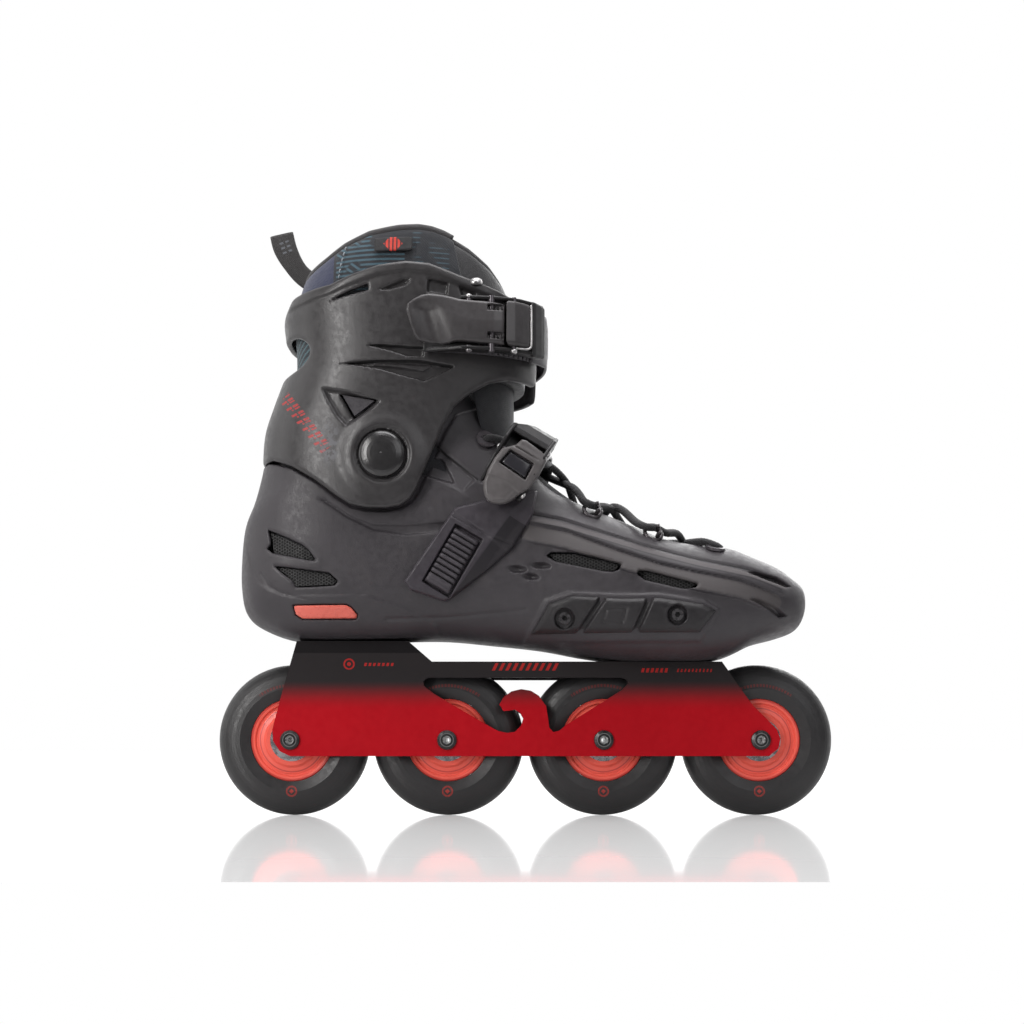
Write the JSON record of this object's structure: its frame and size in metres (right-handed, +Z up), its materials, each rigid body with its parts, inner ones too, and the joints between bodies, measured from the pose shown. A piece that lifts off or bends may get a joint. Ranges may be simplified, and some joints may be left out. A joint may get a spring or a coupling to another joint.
{
  "type": "inline skate",
  "caption": "Right inline skate: moulded boot with hinged cuff, liner, ratchet buckles, laces, aluminium frame and ball-bearing wheels.",
  "frame": {"origin": "on the ground under the skate, midway between the second and third wheels, in the skate's middle plane", "axes": "+X towards the toe, +Z up, -Y towards the outer (lateral) side that carries the buckles"},
  "size_m": [0.322, 0.1172, 0.307],
  "materials": {
    "frame_anodised": "satin, black fading to red",
    "boot_plastic": "matte textured",
    "cuff_plastic": "satin moulded",
    "strap_plastic": "matte moulded",
    "buckle_plastic": "satin gloss",
    "cap_gloss": "polished",
    "reflector": "glossy coral",
    "tyre_urethane": "satin urethane",
    "hub_nylon": "satin coral red",
    "bearing_steel": "ground steel",
    "black_steel": "black oxide",
    "plain_steel": "plain",
    "bright_steel": "polished",
    "liner_fabric": "padded textile with printed stripes",
    "tongue_leather": "synthetic leather",
    "webbing": "woven webbing",
    "strap_pad": "soft padded strap",
    "vent_mesh": "fine mesh",
    "insole_foam": "foam with cloth face",
    "shock_rubber": "soft rubber"
  },
  "bodies": {
    "chassis": {"frame": "frame_anodised", "axle_bolts": "black_steel", "bearing_inner_races": "bearing_steel", "bearing_spacers": "plain_steel", "mounting_bolts": "black_steel", "mounting_washers": "plain_steel", "sole_inserts": "plain_steel", "boot_shell": "boot_plastic", "heel_shock_pad": "shock_rubber", "footbed": "insole_foam", "vent_mesh": "vent_mesh", "heel_reflectors": "reflector", "side_sliders": "strap_plastic", "slider_screws": "black_steel", "lace_eyelets": "black_steel", "lace_hooks": "black_steel", "lace": "webbing", "liner_lower": "liner_fabric", "tongue_lower": "tongue_leather", "instep_arm": "strap_plastic", "instep_arm_screws": "black_steel", "instep_ladder": "strap_plastic", "instep_strap": "strap_pad", "instep_anchor_screw": "plain_steel", "instep_buckle_base": "buckle_plastic", "instep_hinge_pin": "bright_steel", "pivot_bushings": "buckle_plastic", "pivot_bolts": "black_steel", "pivot_nuts": "black_steel", "pivot_caps": "cap_gloss"},
    "cuff": {"cuff_shell": "cuff_plastic", "triangle_inserts": "cuff_plastic", "liner_upper": "liner_fabric", "tongue_upper": "tongue_leather", "pull_loop": "webbing", "cuff_buckle_base": "buckle_plastic", "cuff_buckle_rivets": "bright_steel", "cuff_ladder": "strap_plastic", "cuff_anchor_screw": "plain_steel", "cuff_hinge_pin": "bright_steel"},
    "cuff_lever": {"cuff_lever": "buckle_plastic"},
    "cuff_release": {"cuff_release": "buckle_plastic"},
    "instep_lever": {"instep_lever": "buckle_plastic"},
    "instep_release": {"instep_release": "buckle_plastic"},
    "wheel_1": {"tyre_1": "tyre_urethane", "hub_1": "hub_nylon", "bearing_outer_races_1": "bearing_steel"},
    "ball_cage_1": {"ball_cages_1": "bearing_steel"},
    "wheel_2": {"tyre_2": "tyre_urethane", "hub_2": "hub_nylon", "bearing_outer_races_2": "bearing_steel"},
    "ball_cage_2": {"ball_cages_2": "bearing_steel"},
    "wheel_3": {"tyre_3": "tyre_urethane", "hub_3": "hub_nylon", "bearing_outer_races_3": "bearing_steel"},
    "ball_cage_3": {"ball_cages_3": "bearing_steel"},
    "wheel_4": {"tyre_4": "tyre_urethane", "hub_4": "hub_nylon", "bearing_outer_races_4": "bearing_steel"},
    "ball_cage_4": {"ball_cages_4": "bearing_steel"}
  },
  "joints": [
    {"name": "cuff_pivot", "type": "hinge", "parent": "chassis", "child": "cuff", "pos_m": [-0.0708, 0, 0.1807], "axis": [0, 1, 0], "range_deg": [0, 16]},
    {"name": "cuff_lever_hinge", "type": "hinge", "parent": "cuff", "child": "cuff_lever", "pos_m": [-0.0165, -0.0565, 0.243], "axis": [0, 0, 1], "range_deg": [0, 80]},
    {"name": "cuff_release_hinge", "type": "hinge", "parent": "cuff", "child": "cuff_release", "pos_m": [-0.0056, -0.0532, 0.243], "axis": [0, 0, 1], "range_deg": [0, 10]},
    {"name": "instep_lever_hinge", "type": "hinge", "parent": "chassis", "child": "instep_lever", "pos_m": [-0.00277, -0.0526, 0.17773], "axis": [-0.8607, 0, 0.509], "range_deg": [0, 70]},
    {"name": "instep_release_push", "type": "slide", "parent": "instep_lever", "child": "instep_release", "axis": [0, 1, 0], "range_m": [0, 0.0016], "stiffness_N_per_m": 400},
    {"name": "wheel_1_spin", "type": "hinge", "parent": "chassis", "child": "wheel_1", "pos_m": [-0.1215, 0, 0.0395], "axis": [0, 1, 0], "continuous": true},
    {"name": "ball_cage_1_spin", "type": "hinge", "parent": "chassis", "child": "ball_cage_1", "pos_m": [-0.1215, 0, 0.0395], "axis": [0, 1, 0], "continuous": true},
    {"name": "wheel_2_spin", "type": "hinge", "parent": "chassis", "child": "wheel_2", "pos_m": [-0.0405, 0, 0.0395], "axis": [0, 1, 0], "continuous": true},
    {"name": "ball_cage_2_spin", "type": "hinge", "parent": "chassis", "child": "ball_cage_2", "pos_m": [-0.0405, 0, 0.0395], "axis": [0, 1, 0], "continuous": true},
    {"name": "wheel_3_spin", "type": "hinge", "parent": "chassis", "child": "wheel_3", "pos_m": [0.0405, 0, 0.0395], "axis": [0, 1, 0], "continuous": true},
    {"name": "ball_cage_3_spin", "type": "hinge", "parent": "chassis", "child": "ball_cage_3", "pos_m": [0.0405, 0, 0.0395], "axis": [0, 1, 0], "continuous": true},
    {"name": "wheel_4_spin", "type": "hinge", "parent": "chassis", "child": "wheel_4", "pos_m": [0.1215, 0, 0.0395], "axis": [0, 1, 0], "continuous": true},
    {"name": "ball_cage_4_spin", "type": "hinge", "parent": "chassis", "child": "ball_cage_4", "pos_m": [0.1215, 0, 0.0395], "axis": [0, 1, 0], "continuous": true}
  ],
  "couplings": [
    {"joint": "ball_cage_1_spin", "follows": "wheel_1_spin", "ratio": 0.632},
    {"joint": "ball_cage_2_spin", "follows": "wheel_2_spin", "ratio": 0.632},
    {"joint": "ball_cage_3_spin", "follows": "wheel_3_spin", "ratio": 0.632},
    {"joint": "ball_cage_4_spin", "follows": "wheel_4_spin", "ratio": 0.632}
  ]
}
